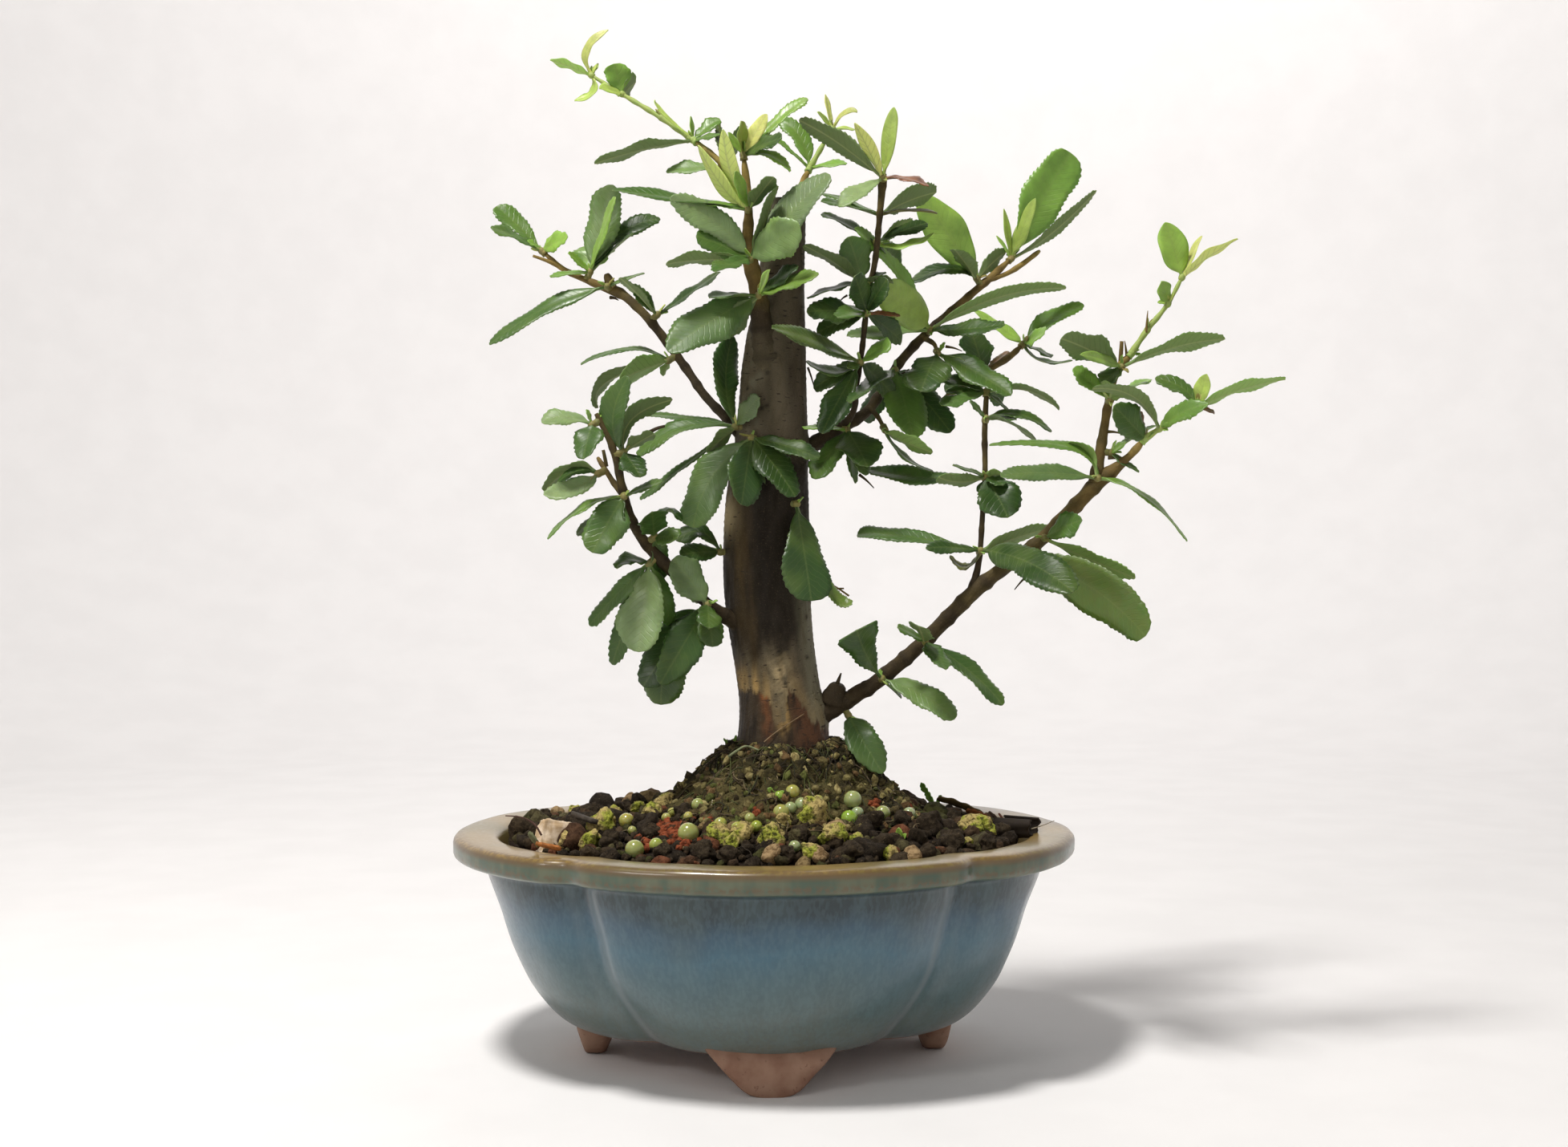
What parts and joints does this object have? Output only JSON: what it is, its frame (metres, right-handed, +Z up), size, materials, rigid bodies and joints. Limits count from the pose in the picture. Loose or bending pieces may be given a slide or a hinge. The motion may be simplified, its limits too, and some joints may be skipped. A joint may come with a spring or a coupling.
{
  "type": "bonsai tree in a pot",
  "caption": "Small evergreen pyracantha bonsai with an upright trunk and open branches, in a lobed oval glazed pot on small feet.",
  "frame": {"origin": "centre of the bounding box in X and Y, at the height of the undersides of the feet", "axes": "+Z up, -Y towards the front of the tree and pot, +X along the pot's long side to the viewer's right"},
  "size_m": [0.195, 0.127, 0.2489],
  "materials": {
    "pot_glaze": "glazed stoneware, blue-green, soft gloss, bare clay on the feet",
    "screen_plastic": "matte dark plastic mesh",
    "gravel_stone": "rough mineral gravel",
    "soil_grains": "granular dark soil with pumice and clay grains",
    "moss_and_roots": "matted moss and fine roots",
    "bark": "living grey-brown bark",
    "leaf_mature": "leathery green leaf, satin gloss",
    "leaf_young": "soft lime-green young growth"
  },
  "bodies": {
    "root": {"pot": "pot_glaze", "drainage_screen_left": "screen_plastic", "drainage_screen_right": "screen_plastic", "drainage_gravel": "gravel_stone", "soil": "soil_grains", "root_mound": "moss_and_roots", "trunk_and_branches": "bark", "shoot_crown_left": "leaf_young", "shoot_centre": "leaf_young", "shoot_riser_tip": "leaf_young", "shoot_low_tip": "leaf_young", "spray_crown_bend": "leaf_mature", "spray_leader_upper": "leaf_mature", "spray_leader_top": "leaf_mature", "spray_leader_middle": "leaf_mature", "spray_leader_low": "leaf_mature", "spray_inner_top": "leaf_mature", "spray_inner_upper": "leaf_mature", "spray_inner_middle": "leaf_mature", "spray_inner_low": "leaf_mature", "spray_inner_lower": "leaf_mature", "spray_inner_base": "leaf_mature", "spray_right_base": "leaf_mature", "spray_right_hanging": "leaf_mature", "spray_right_shade": "leaf_mature", "spray_right_fork": "leaf_mature", "spray_right_node": "leaf_mature", "spray_right_upper": "leaf_mature", "spray_right_tip": "leaf_mature", "spray_rear_tip": "leaf_mature", "spray_rear_middle": "leaf_mature", "spray_twig_top": "leaf_mature", "spray_twig_upper": "leaf_mature", "spray_twig_middle": "leaf_mature", "spray_twig_low": "leaf_mature", "spray_low_knob": "leaf_mature", "spray_low_inner": "leaf_mature", "spray_low_middle": "leaf_mature", "spray_low_base": "leaf_mature", "spray_low_junction": "leaf_mature", "spray_riser_low": "leaf_mature", "spray_riser_middle": "leaf_mature", "spray_riser_upper": "leaf_mature", "spray_left_tip": "leaf_mature", "spray_left_fan": "leaf_mature", "spray_left_knob": "leaf_mature", "spray_left_spur": "leaf_mature", "spray_left_node": "leaf_mature", "spray_trunk_left": "leaf_mature", "spray_trunk_front": "leaf_mature", "spray_trunk_right": "leaf_mature", "spray_trunk_low": "leaf_mature", "spray_drop_tip": "leaf_mature", "spray_drop_upper": "leaf_mature", "spray_drop_twig": "leaf_mature", "spray_drop_middle": "leaf_mature", "spray_drop_round": "leaf_mature", "spray_drop_hanging": "leaf_mature", "spray_drop_base": "leaf_mature"}
  },
  "joints": []
}
